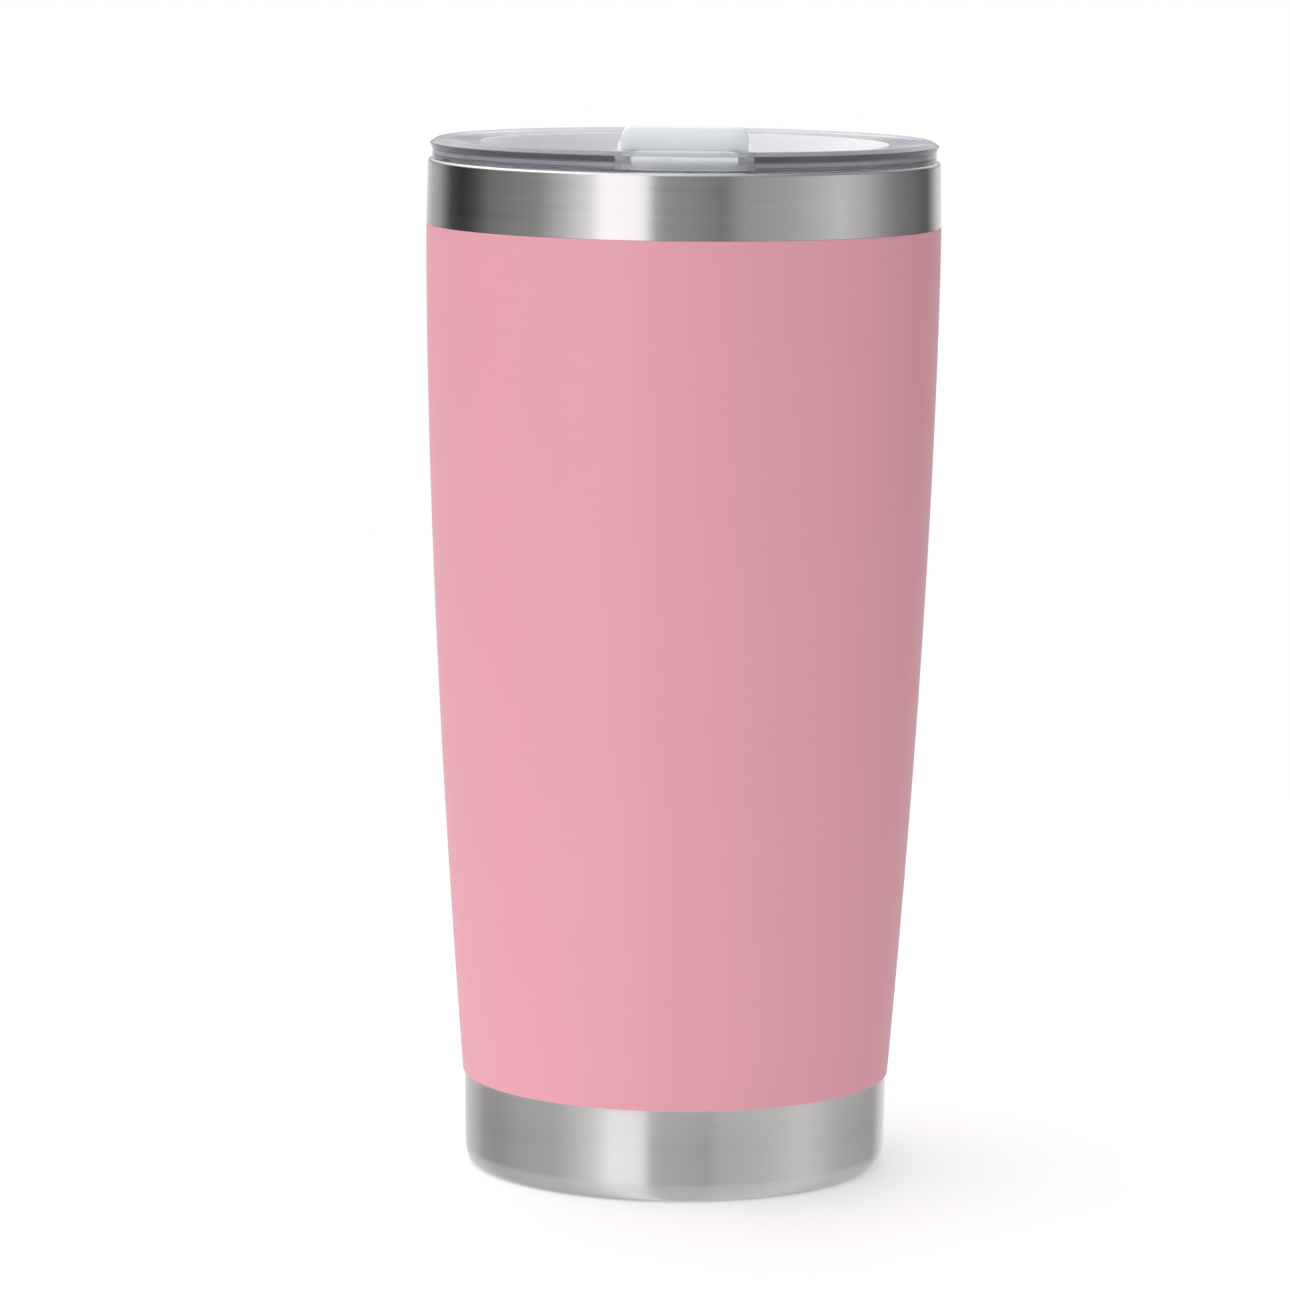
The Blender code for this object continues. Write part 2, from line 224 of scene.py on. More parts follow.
# %% [markdown]
# ## Node helpers
# A small set of functions keeps the node trees readable: add a node, set its values and link it,
# ease or ramp a value, blend two colours, and read where on the piece a point lies.

# %% Node helpers
def add_node(tree, kind, values=None, **settings):
    """A node of a kind, with settings as attributes and values as socket defaults."""
    node = tree.nodes.new(kind)
    for key, value in settings.items():
        setattr(node, key, value)
    for key, value in (values or {}).items():
        node.inputs[key].default_value = value
    return node


def new_material(name, **values):
    """Material with one Principled shader whose own sockets hold the constants."""
    material = bpy.data.materials.new(name)
    material.use_nodes = True
    shader = material.node_tree.nodes["Principled BSDF"]
    for key, value in values.items():
        shader.inputs[key.replace("_", " ")].default_value = value
    return material, material.node_tree, shader


def new_group(name, inputs, outputs):
    """Node group with float inputs (name: default) and named float outputs."""
    group = bpy.data.node_groups.new(name, "ShaderNodeTree")
    for label, default in inputs.items():
        socket = group.interface.new_socket(label, in_out="INPUT", socket_type="NodeSocketFloat")
        socket.default_value = default
    for label in outputs:
        group.interface.new_socket(label, in_out="OUTPUT", socket_type="NodeSocketFloat")
    return group, group.nodes.new("NodeGroupInput"), group.nodes.new("NodeGroupOutput")


def place_group(tree, group, values):
    """One use of a group, with its own values."""
    node = tree.nodes.new("ShaderNodeGroup")
    node.node_tree = group
    for key, value in values.items():
        node.inputs[key].default_value = value
    return node


def math_node(tree, operation, first, second=None, third=None):
    """A Math node whose inputs are sockets or numbers."""
    node = add_node(tree, "ShaderNodeMath", operation=operation)
    for index, value in enumerate((first, second, third)):
        if value is None:
            continue
        if isinstance(value, (int, float)):
            node.inputs[index].default_value = value
        else:
            tree.links.new(value, node.inputs[index])
    return node.outputs[0]


def remap(tree, value, low, high):
    """A 0-to-1 value moved to a new range."""
    node = add_node(tree, "ShaderNodeMapRange", {"To Min": low, "To Max": high})
    tree.links.new(value, node.inputs["Value"])
    return node.outputs["Result"]


def soft_step(tree, value, start, end):
    """0 at the start, 1 at the end, eased between; the end may be below the start."""
    node = add_node(tree, "ShaderNodeMapRange", {"From Min": start, "From Max": end},
                    interpolation_type="SMOOTHSTEP")
    tree.links.new(value, node.inputs["Value"])
    return node.outputs["Result"]


def ramp(tree, share, points):
    """A value read off a line of (position, value) points."""
    node = add_node(tree, "ShaderNodeValToRGB")
    tree.links.new(share, node.inputs[0])
    stops = node.color_ramp.elements
    for stop, (position, value) in zip(stops, (points[0], points[-1])):
        stop.position = position
        stop.color = (value, value, value, 1.0)
    for position, value in points[1:-1]:
        stops.new(position).color = (value, value, value, 1.0)
    return node.outputs[0]


def blend(tree, share, first, second):
    """A colour between two others, each a socket or an (r, g, b)."""
    node = add_node(tree, "ShaderNodeMix", data_type="RGBA")
    tree.links.new(share, node.inputs[0])
    for socket, colour in ((node.inputs[6], first), (node.inputs[7], second)):
        if isinstance(colour, tuple):
            socket.default_value = (*colour, 1.0)
        else:
            tree.links.new(colour, socket)
    return node.outputs[2]


def object_place(tree):
    """x, y and z on the piece, and the distance from its axis, in metres."""
    place = add_node(tree, "ShaderNodeTexCoord")
    split = add_node(tree, "ShaderNodeSeparateXYZ")
    tree.links.new(place.outputs["Object"], split.inputs[0])
    x, y, z = split.outputs
    squares = math_node(tree, "ADD", math_node(tree, "MULTIPLY", x, x), math_node(tree, "MULTIPLY", y, y))
    return x, y, z, math_node(tree, "SQRT", squares)


# %% [markdown]
# ## Effect: brushing
# Shop brushing is many fine scratches side by side.  On a cup that is spun against an abrasive
# belt they run round it.  Stretched noise gives them: very fine across the scratch and long
# along it, so squeezing the coordinates along Z draws rings with no seam.  On a flat disc the
# scratches are rings too, so there the distance from the axis takes the place of Z.

# %% Brushing group
def brushing_group():
    """Height, Tone and Rough, all 0 to 1, for circular brush marks."""
    group, given, out = new_group(
        "brushing", {"Marks per mm": 6.0, "Mark length mm": 30.0, "Flat": 0.0}, ("Height", "Tone", "Rough"))
    x, y, z, radius = object_place(group)
    flat = given.outputs["Flat"]
    across = math_node(group, "ADD", math_node(group, "MULTIPLY", radius, flat),
                       math_node(group, "MULTIPLY", z, math_node(group, "SUBTRACT", 1.0, flat)))
    fine = math_node(group, "MULTIPLY", given.outputs["Marks per mm"], 1.0 / MM)
    along = math_node(group, "DIVIDE", 1.0 / MM, given.outputs["Mark length mm"])
    stretched = add_node(group, "ShaderNodeCombineXYZ")
    group.links.new(math_node(group, "MULTIPLY", x, along), stretched.inputs[0])
    group.links.new(math_node(group, "MULTIPLY", y, along), stretched.inputs[1])
    group.links.new(math_node(group, "MULTIPLY", across, fine), stretched.inputs[2])
    marks = add_node(group, "ShaderNodeTexNoise", {"Scale": 1.0, "Detail": 3.0, "Roughness": 0.65})
    group.links.new(stretched.outputs[0], marks.inputs["Vector"])
    slower = add_node(group, "ShaderNodeVectorMath", {1: (0.7, 0.7, 0.17)}, operation="MULTIPLY")
    group.links.new(stretched.outputs[0], slower.inputs[0])
    streaks = add_node(group, "ShaderNodeTexNoise", {"Scale": 1.0, "Detail": 2.0, "Roughness": 0.5})
    group.links.new(slower.outputs[0], streaks.inputs["Vector"])
    group.links.new(marks.outputs["Fac"], out.inputs["Height"])
    group.links.new(streaks.outputs["Fac"], out.inputs["Tone"])
    both = math_node(group, "ADD", marks.outputs["Fac"], streaks.outputs["Fac"])
    group.links.new(math_node(group, "MULTIPLY", both, 0.5), out.inputs["Rough"])
    return group


brushing = brushing_group()

# %% [markdown]
# ## Effect: fine grain
# Powder coating cures to a faint orange peel, and moulded plastic takes the mould's polish, so
# both are covered in soft, shallow lumps.  Two sizes of noise make them: the peel, and a slower
# cloud that moves the tone and the gloss a little.

# %% Grain group
def grain_group():
    """Height, Tone and Rough, all 0 to 1, for sprayed or moulded surfaces."""
    group, given, out = new_group(
        "fine_grain", {"Grain mm": 0.4, "Cloud mm": 18.0}, ("Height", "Tone", "Rough"))
    place = add_node(group, "ShaderNodeTexCoord")
    per_grain = math_node(group, "DIVIDE", 1.0 / MM, given.outputs["Grain mm"])
    per_cloud = math_node(group, "DIVIDE", 1.0 / MM, given.outputs["Cloud mm"])
    peel = add_node(group, "ShaderNodeTexNoise", {"Detail": 2.0, "Roughness": 0.55})
    cloud = add_node(group, "ShaderNodeTexNoise", {"Detail": 3.0, "Roughness": 0.5})
    for noise, scale in ((peel, per_grain), (cloud, per_cloud)):
        group.links.new(place.outputs["Object"], noise.inputs["Vector"])
        group.links.new(scale, noise.inputs["Scale"])
    group.links.new(peel.outputs["Fac"], out.inputs["Height"])
    group.links.new(cloud.outputs["Fac"], out.inputs["Tone"])
    mixed = math_node(group, "ADD", math_node(group, "MULTIPLY", peel.outputs["Fac"], 0.4),
                      math_node(group, "MULTIPLY", cloud.outputs["Fac"], 0.6))
    group.links.new(mixed, out.inputs["Rough"])
    return group


fine_grain = grain_group()

# %% [markdown]
# ## Putting an effect on a material
# Every finish uses its effect the same way: Tone moves the colour between two close shades, Rough
# moves the roughness between two values, and Height feeds a Bump node.

# %% Finish helper
def dress(tree, shader, effect, shades, roughs, bump_mm, strength=1.0):
    """Link an effect's outputs to colour, roughness and bump."""
    tree.links.new(blend(tree, effect.outputs["Tone"], *shades), shader.inputs["Base Color"])
    tree.links.new(remap(tree, effect.outputs["Rough"], *roughs), shader.inputs["Roughness"])
    bump = add_node(tree, "ShaderNodeBump", {"Strength": strength, "Distance": bump_mm * MM})
    tree.links.new(effect.outputs["Height"], bump.inputs["Height"])
    tree.links.new(bump.outputs["Normal"], shader.inputs["Normal"])


# %% [markdown]
# ## Steel finishes
# The shell is belt-brushed round its axis.  Such scratches spread a reflection up and down but
# keep it sharp sideways, which is why a brushed cup shows tall vertical bands of light.  The
# anisotropic setting does that: its tangent runs round the cup, and a quarter turn sets the
# stretch across the scratches.  The liner is a paler, satin steel, and the disc under the base
# is spun, so its marks are rings.

# %% Steel materials
def steel_finish(name, shades, roughs, marks, length, flat, anisotropy):
    """Brushed stainless steel, its highlights stretched across the scratches."""
    material, tree, shader = new_material(
        name, Metallic=1.0, Anisotropic=anisotropy, Anisotropic_Rotation=0.25)
    effect = place_group(tree, brushing, {"Marks per mm": marks, "Mark length mm": length, "Flat": flat})
    dress(tree, shader, effect, shades, roughs, 0.004, 0.35)
    tangent = add_node(tree, "ShaderNodeTangent", direction_type="RADIAL", axis="Z")
    tree.links.new(tangent.outputs[0], shader.inputs["Tangent"])
    return material


WARM_STEEL = ((0.585, 0.57, 0.565), (0.645, 0.63, 0.625))
BRIGHT_STEEL = ((0.74, 0.725, 0.71), (0.80, 0.785, 0.77))
shell_steel = steel_finish("brushed_shell", WARM_STEEL, (0.15, 0.23), 5.0, 35.0, 0.0, 0.8)
liner_steel = steel_finish("satin_liner", BRIGHT_STEEL, (0.40, 0.52), 4.0, 25.0, 0.0, 0.3)
base_steel = steel_finish("spun_base", WARM_STEEL, (0.26, 0.40), 4.0, 25.0, 1.0, 0.4)

# %% [markdown]
# ## Pink powder coating
# Sprayed as dry powder and baked, it is a smooth satin skin with a faint orange peel.

# %% Coating material
def coat_finish():
    """Satin pink powder coating."""
    material, tree, shader = new_material("pink_powder_coat", Specular_IOR_Level=0.5)
    effect = place_group(tree, fine_grain, {"Grain mm": 0.55, "Cloud mm": 30.0})
    dress(tree, shader, effect, ((0.795, 0.354, 0.421), (0.815, 0.368, 0.435)), (0.36, 0.46), 0.01, 0.25)
    return material


pink_coat = coat_finish()

# %% [markdown]
# ## Painted shade: where a clear rim goes dark
# A clear moulding gathers the dark of the room in its rim, because its edge shows what lies far
# round the side.  A thick edge shows it as bands at fixed heights: a dark line under the top
# face, a pale one below it, and a fainter dark one at the foot, a painted shadow of the gap over
# the lip.  Tracing that through every bounce is slow and noisy, so the bands are painted shade and
# painted reflection: a ramp over the rim's height darkens the base colour, and two masks keep
# them to the outside and away from the slider's channel, the same in any light.  A third mask
# paints the inner part of the top ring greyer, where the plastic is thickest; that grey is
# painted shade too.

# %% Painted rim shade group
# (place from the bottom to the top of the rim's edge; how much painted shade)
PAINTED_RIM_SHADE = ((0.0, 0.7), (0.15, 0.7), (0.20, 0.1), (0.36, 0.1),
             (0.40, 1.0), (0.75, 1.0), (0.79, 0.0), (1.0, 0.0))
RIM_LOW, RIM_HIGH = 0.1729, 0.17595
RIM_RADIUS = 0.0418
CHANNEL_REACH = 0.01135
SLOPE_OUT, SLOPE_IN = 0.0400, 0.0375


def painted_shade_group():
    """Two masks, both 0 to 1: bands of painted shade and painted reflection on the rim, and painted shade on
    the inner part of the top ring.
    """
    sizes = {"Rim low": RIM_LOW, "Rim high": RIM_HIGH, "Rim radius": RIM_RADIUS,
             "Channel half": CHANNEL_REACH}
    group, given, out = new_group("lid_painted_shade", sizes, ("Painted rim shade", "Slope"))
    x, y, z, radius = object_place(group)
    level = add_node(group, "ShaderNodeMapRange")
    group.links.new(z, level.inputs["Value"])
    group.links.new(given.outputs["Rim low"], level.inputs["From Min"])
    group.links.new(given.outputs["Rim high"], level.inputs["From Max"])
    share = level.outputs["Result"]
    beside = math_node(group, "GREATER_THAN", math_node(group, "ABSOLUTE", x), given.outputs["Channel half"])
    behind = math_node(group, "GREATER_THAN", y, 0.0)
    outside = math_node(group, "GREATER_THAN", radius, given.outputs["Rim radius"])
    clear_of_channel = math_node(group, "MAXIMUM", beside, behind)
    # Painted shade and painted reflection: the ramp's dark bands on the rim, kept off the channel.
    edge = math_node(group, "MULTIPLY", ramp(group, share, PAINTED_RIM_SHADE), clear_of_channel)
    group.links.new(math_node(group, "MULTIPLY", edge, outside), out.inputs["Painted rim shade"])
    # Painted shade: the inner part of the top ring is painted greyer than the rest of the clear plastic.
    high = math_node(group, "GREATER_THAN", share, 0.5)
    painted_grey_ring = math_node(group, "MULTIPLY", soft_step(group, radius, SLOPE_OUT, SLOPE_IN), high)
    group.links.new(painted_grey_ring, out.inputs["Slope"])
    return group


lid_painted_shade = painted_shade_group()

# %% [markdown]
# ## Plastics and silicone
# The lid is clear copolyester, polished, with the slow waves that a mould leaves in it; they
# break up what the ring reflects.  The recess wall and the rails are textured in the mould, so
# there the same plastic is a pale frost.  The slider is frosted all through: light goes into it
# and comes out soft, which the subsurface setting gives.  The ring is milky silicone.

# %% Plastic materials
def clear_finish():
    """Clear moulded plastic, polished, with painted shade in the rim's edge and on the inner top ring."""
    material, tree, shader = new_material("clear_copolyester", IOR=1.54)
    shader.inputs["Transmission Weight"].default_value = 0.80
    effect = place_group(tree, fine_grain, {"Grain mm": 6.0, "Cloud mm": 25.0})
    dress(tree, shader, effect, ((0.90, 0.915, 0.97), (0.93, 0.94, 0.985)), (0.05, 0.10), 0.04)
    zones = place_group(tree, lid_painted_shade, {})
    # Painted shade: the rim's dark bands and the greyer inner ring are blended into the base colour.
    for zone, colour in (("Slope", (0.60, 0.62, 0.70)), ("Painted rim shade", (0.165, 0.175, 0.205))):
        plain = shader.inputs["Base Color"].links[0].from_socket
        tree.links.new(blend(tree, zones.outputs[zone], plain, colour), shader.inputs["Base Color"])
    return material


def recess_finish():
    """The same plastic where the mould is textured: a soft, pale frost."""
    material, tree, shader = new_material("textured_copolyester", IOR=1.54)
    shader.inputs["Transmission Weight"].default_value = 0.10
    shader.inputs["Subsurface Weight"].default_value = 0.6
    shader.inputs["Subsurface Radius"].default_value = (1.0, 1.0, 1.0)
    shader.inputs["Subsurface Scale"].default_value = 0.008
    effect = place_group(tree, fine_grain, {"Grain mm": 0.35, "Cloud mm": 20.0})
    dress(tree, shader, effect, ((0.88, 0.915, 1.0), (0.90, 0.93, 1.0)), (0.30, 0.42), 0.01, 0.12)
    return material


def frosted_finish():
    """Frosted translucent plastic."""
    material, tree, shader = new_material("frosted_plastic", IOR=1.5)
    shader.inputs["Transmission Weight"].default_value = 0.10
    shader.inputs["Subsurface Weight"].default_value = 0.85
    shader.inputs["Subsurface Radius"].default_value = (1.0, 1.0, 1.0)
    shader.inputs["Subsurface Scale"].default_value = 0.005
    effect = place_group(tree, fine_grain, {"Grain mm": 0.25, "Cloud mm": 9.0})
    dress(tree, shader, effect, ((0.85, 0.895, 0.955), (0.88, 0.92, 0.975)), (0.38, 0.5), 0.01, 0.3)
    return material


def silicone_finish():
    """Milky silicone rubber."""
    material, tree, shader = new_material("milky_silicone", IOR=1.41)
    shader.inputs["Transmission Weight"].default_value = 0.35
    effect = place_group(tree, fine_grain, {"Grain mm": 0.3, "Cloud mm": 12.0})
    dress(tree, shader, effect, ((0.80, 0.81, 0.82), (0.86, 0.87, 0.88)), (0.42, 0.55), 0.012, 0.3)
    return material


clear_plastic = clear_finish()
recess_plastic = recess_finish()
frosted_plastic = frosted_finish()
silicone = silicone_finish()

# %% [markdown]
# ## Outer shell
# One sheet of steel: the lip is rolled in at the top, the side tapers in a slow curve, the
# bottom corner is drawn to a small radius and the edge turns up inside the resting ring.

# %% Shell outline
TAPER_TOP = 160.86
TAPER_HEIGHT = 143.94
TAPER = 6.93
TAPER_POWER = 1.65
COAT_SEAT = 0.20
LIP_IN, LIP_OUT, LIP_ROUND = 41.0, 43.43, 0.65
BAND_R, BAND_END_R, BAND_END_Z = 36.30, 36.22, 9.0
FOOT_BEND_R, FOOT_BEND_Z, FOOT_OUT_R = 34.85, 3.3, 36.13
FOOT_LINE = ((32.9, 0.0), (32.6, 0.1), (32.5, 0.35), (32.5, 2.6))


def coat_radius(z):
    """Outer radius of the coated side at a height."""
    return COAT_R - TAPER * (max(TAPER_TOP - z, 0.0) / TAPER_HEIGHT) ** TAPER_POWER


def side_heights(low, high, steps):
    """Heights down the side, closer together near the foot."""
    return [high - (high - low) * (step / steps) ** 0.85 for step in range(steps + 1)]


def shell_line():
    """Outer face from the inside of the lip to the turned-up edge under the foot."""
    round_z = SHELL_TOP - LIP_ROUND
    line = [(LIP_IN, LINER_TOP + 0.3)]
    line += arc(LIP_IN + LIP_ROUND, round_z, LIP_ROUND, LIP_ROUND, 180, 90, 8)
    line += arc(LIP_OUT - LIP_ROUND, round_z, LIP_ROUND, LIP_ROUND, 90, 0, 8)
    line += [(LIP_OUT + 0.05, round_z - 2.5), (COAT_R - 0.02, COAT_HIGH + 0.03)]
    line += [(coat_radius(z) - COAT_SEAT, z) for z in side_heights(COAT_LOW + 0.4, COAT_HIGH + 0.02, 30)]
    line += [(BAND_R, COAT_LOW - 0.6), (BAND_END_R, BAND_END_Z)]
    line += arc(FOOT_BEND_R, FOOT_BEND_Z, FOOT_OUT_R - FOOT_BEND_R, FOOT_BEND_Z, 0, -90, 10)
    return line + list(FOOT_LINE)


# %% Make the shell
shell = turned("steel_shell", thickened(shell_line(), SHEET))
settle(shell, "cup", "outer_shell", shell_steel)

# %% [markdown]
# ## Powder coating
# The coating is a thin sleeve on the shell.  Its two edges are masked and cleaned by the maker,
# so they end square with only a hair of rounding.

# %% Make the coating
COAT_THICK = 0.15


def coat_outline():
    """Closed section of the coating sleeve."""
    heights = side_heights(COAT_LOW, COAT_HIGH, 40)
    outside = [(coat_radius(z), z) for z in heights]
    top, low = outside[0], outside[-1]
    outside = [(top[0] - 0.05, top[1]), (top[0], top[1] - 0.05)] + outside[1:-1]
    outside += [(low[0], low[1] + 0.06), (low[0] - 0.05, low[1])]
    inside = [(coat_radius(z) - COAT_THICK, z) for z in heights]
    return outside + inside[::-1]


coating = turned("pink_coating", coat_outline())
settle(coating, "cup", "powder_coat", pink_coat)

# %% [markdown]
# ## Liner
# The liner is the wall that touches the drink.  It is a tapered tube with a plain bore at the
# mouth, where the lid's ring seals, and a dished bottom welded to it a little above the floor.

# %% Make the liner
LINER_STRAIGHT = 160.0
FLOOR_Z = 13.0
CORNER_R = 6.5
BORE_R, BORE_TAPER, BORE_POWER = 41.0, 10.2, 1.1


def liner_radius(z):
    """Inner radius of the liner at a height."""
    depth = max(LINER_STRAIGHT - z, 0.0) / (LINER_STRAIGHT - FLOOR_Z)
    return BORE_R - BORE_TAPER * depth ** BORE_POWER


def liner_outline():
    """Closed section of the liner tube."""
    bore = [(BORE_R + 0.05, LINER_TOP), (BORE_R, LINER_TOP - 0.1)]
    bore += [(liner_radius(z), z) for z in side_heights(SEAM_Z, LINER_STRAIGHT + 1.0, 24)]
    back = [(r + SHEET, z) for r, z in bore]
    return bore + back[::-1]


def bottom_outline():
    """Closed section of the dished bottom, with a slight crown and a drawn ring."""
    top_r = liner_radius(SEAM_Z)
    low_r = top_r - CORNER_R
    line = [(0.0, FLOOR_Z), (low_r * 0.35, FLOOR_Z), (low_r * 0.8, FLOOR_Z)]
    line += arc(low_r, FLOOR_Z + CORNER_R, CORNER_R, CORNER_R, -90, 0, 12)
    line += [(top_r, SEAM_Z - CLEARANCE)]
    return thickened(line, SHEET)


liner = turned("steel_liner", liner_outline())
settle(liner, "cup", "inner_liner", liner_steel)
liner_bottom = turned("liner_dish", bottom_outline())
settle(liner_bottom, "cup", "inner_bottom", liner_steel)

# %% [markdown]
# ## Base
# Under the foot a thin spun disc covers the seal through which the air was pumped out.  The cap
# that it sits in, the bead of sealing glass, and the pellet that soaks up stray gas in its little
# cup keep their CAD shapes, with finishes of their own.

# %% Make the base
def cover_outline():
    """Closed section of the cover disc, with one pressed ring."""
    crown = 0.25
    low = [(0.0, crown), (10.0, crown), (11.0, crown + 0.12), (14.0, crown + 0.12), (15.0, crown),
           (COVER_R - 3.0, crown), (COVER_R - 1.0, 0.08), (COVER_R - 0.15, 0.0), (COVER_R, 0.1)]
    top = [(COVER_R, SHEET - 0.1), (COVER_R - 0.15, SHEET),
           (COVER_R - 3.0, crown + SHEET), (0.0, crown + SHEET)]
    return [(r, COVER_LOW + z) for r, z in low + top]


cover = turned("cover_disc", cover_outline())
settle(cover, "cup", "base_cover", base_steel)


def bead_finish():
    """Sealing glass, grey-green and slightly bubbled."""
    material, tree, shader = new_material("sealing_glass", IOR=1.52)
    effect = place_group(tree, fine_grain, {"Grain mm": 0.5, "Cloud mm": 3.0})
    dress(tree, shader, effect, ((0.20, 0.25, 0.23), (0.30, 0.35, 0.33)), (0.12, 0.3), 0.02, 0.4)
    return material


def pellet_finish():
    """Sintered getter alloy, dark and granular."""
    material, tree, shader = new_material("sintered_getter", Metallic=1.0)
    effect = place_group(tree, fine_grain, {"Grain mm": 0.2, "Cloud mm": 2.0})
    dress(tree, shader, effect, ((0.15, 0.15, 0.16), (0.24, 0.24, 0.25)), (0.55, 0.75), 0.03, 0.6)
    return material


finishes = {"base_cap": base_steel, "getter_holder": liner_steel, "vacuum_bead": bead_finish(),
            "getter_pill": pellet_finish()}
for node, finish in finishes.items():
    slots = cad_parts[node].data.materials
    slots.clear()
    slots.append(finish)
    print(node, "keeps its CAD shape")

# %% [markdown]
# ## Gasket
# A silicone ring sits in the lid's groove.  Its two soft lips bend against the steel and seal.

# %% Make the gasket
def gasket_outline():
    """Closed section of the ring with two rounded lips."""
    back, body = SEAL_R - 1.3, SEAL_R - 0.55
    return rounded([
        (back, SEAL_HIGH, 0.15), (body, SEAL_HIGH, 0.15), (SEAL_R, SEAL_HIGH - 0.45, 0.2),
        (body, SEAL_HIGH - 1.0, 0.2), (body, SEAL_LOW + 1.0, 0.2), (SEAL_R, SEAL_LOW + 0.55, 0.2),
        (body, SEAL_LOW, 0.15), (back, SEAL_LOW, 0.15)])


gasket = turned("silicone_ring", gasket_outline())
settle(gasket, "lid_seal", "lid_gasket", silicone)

# %% [markdown]
# ## Lid body
# The lid is one moulding: a top ring that dips a little towards the middle so that spilled drink
# runs in, a shallow recess with a sloped wall, a flange that stands over the lip, and a plug that
# goes down inside the mouth.  It is turned first, and then the slider's rails are joined on and
# its channel, the drink hole and the vent are cut, as the steel cores of a mould would leave them.

# %% Lid section
PLATE = 1.2
FLANGE_UNDER = 172.9
FLANGE_WAIST = 42.75
RECESS_FLOOR = 172.1
RECESS_R = 34.4
SKIRT_R = 40.2
SKIRT_IN = 38.0
CHANNEL_FLOOR = 172.3
CHANNEL_HALF = 8.45
UNDERCUT_HALF = 10.0
UNDERCUT_TOP = 173.6
RAIL_TOP = 174.7
RAIL_HALF = 11.35
RECESS_WALL = 1.3
CHANNEL_BACK = 15.0
RAIL_FRONT, RAIL_BACK = -38.5, CHANNEL_BACK + 2.0
RING_DIP = 0.6
GROOVE_R, GROOVE_TOP, GROOVE_LOW = 39.1, 168.8, 165.2
HOLE_HALF, HOLE_FRONT, HOLE_BACK, HOLE_CORNER = 7.0, -36.8, -30.3, 2.8
VENT_R, VENT_Y = 1.5, 27.0
UNDER_FLOOR = 168.0


def lid_outline():
    """Closed section of the lid, from the middle of its floor round to the middle again."""
    return rounded([
        (0.0, RECESS_FLOOR, 0), (RECESS_R - 2.6, RECESS_FLOOR, 1.2),
        (RECESS_R + 0.1, LID_TOP - RING_DIP, 0.6),
        (FLANGE_R - 1.2, LID_TOP, 0.9), (FLANGE_R, LID_TOP - 0.75, 0.12),
        (FLANGE_WAIST - 0.1, FLANGE_UNDER + 1.2, 0.9), (FLANGE_WAIST, FLANGE_UNDER, 0.25),
        (SKIRT_R, FLANGE_UNDER, 0.2), (SKIRT_R, GROOVE_TOP, 0.1), (GROOVE_R, GROOVE_TOP, 0.1),
        (GROOVE_R, GROOVE_LOW, 0.1), (SKIRT_R, GROOVE_LOW, 0.1),
        (SKIRT_R, LID_LOW, 0.9), (SKIRT_IN, LID_LOW, 0.3),
        (SKIRT_IN, LID_TOP - PLATE, 0.3), (RECESS_R + RECESS_WALL, LID_TOP - PLATE, 0.3),
        (RECESS_R + RECESS_WALL, RECESS_FLOOR - 2.0, 0.4), (0.0, RECESS_FLOOR - 2.0, 0)], steps=5)


def nose_plan(half, nose_r, tail_y):
    """Plan of a strip whose front end follows the lid's own circle."""
    spread = math.degrees(math.asin(half / nose_r))
    return arc(0, 0, nose_r, nose_r, -90 - spread, -90 + spread, 12) + [(half, tail_y), (-half, tail_y)]


def hole_plan():
    """Rounded rectangle of the drink hole."""
    side = HOLE_HALF - HOLE_CORNER
    front, back = HOLE_FRONT + HOLE_CORNER, HOLE_BACK - HOLE_CORNER
    plan = []
    for x, y, start in ((side, front, -90), (side, back, 0), (-side, back, 90), (-side, front, 180)):
        plan += arc(x, y, HOLE_CORNER, HOLE_CORNER, start, start + 90, 6)
    return plan


def vent_plan():
    """Circle of the vent, behind the slider."""
    return [(x, y + VENT_Y) for x, y in arc(0, 0, VENT_R, VENT_R, 0, 345, 23)]


# %% Make the lid
lid = turned("clear_lid", lid_outline())
rails = [(-RAIL_HALF, RAIL_FRONT), (RAIL_HALF, RAIL_FRONT), (RAIL_HALF, RAIL_BACK), (-RAIL_HALF, RAIL_BACK)]
combine(lid, piece_from("rails", prism(rails, RECESS_FLOOR - 1.6, RAIL_TOP)), "UNION")
reach = NOSE_R + CLEARANCE
cuts = (
    (nose_plan(CHANNEL_HALF, reach, CHANNEL_BACK), CHANNEL_FLOOR, LID_TOP + 2.0),
    (nose_plan(UNDERCUT_HALF, reach, CHANNEL_BACK), CHANNEL_FLOOR, UNDERCUT_TOP),
    (hole_plan(), UNDER_FLOOR, RECESS_FLOOR + 0.9),
    (vent_plan(), UNDER_FLOOR, RECESS_FLOOR + 2.9),
)
for plan, low, high in cuts:
    combine(lid, piece_from("core", prism(plan, low, high)), "DIFFERENCE")
shade(lid.data, 30.0)
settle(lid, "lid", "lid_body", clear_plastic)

# %% [markdown]
# ## Texture in the recess
# The frost is a finish on some faces of the one moulding, not a piece of its own.  So the lid
# takes a second material, on the sloped wall and on the rails, above the clear recess floor.

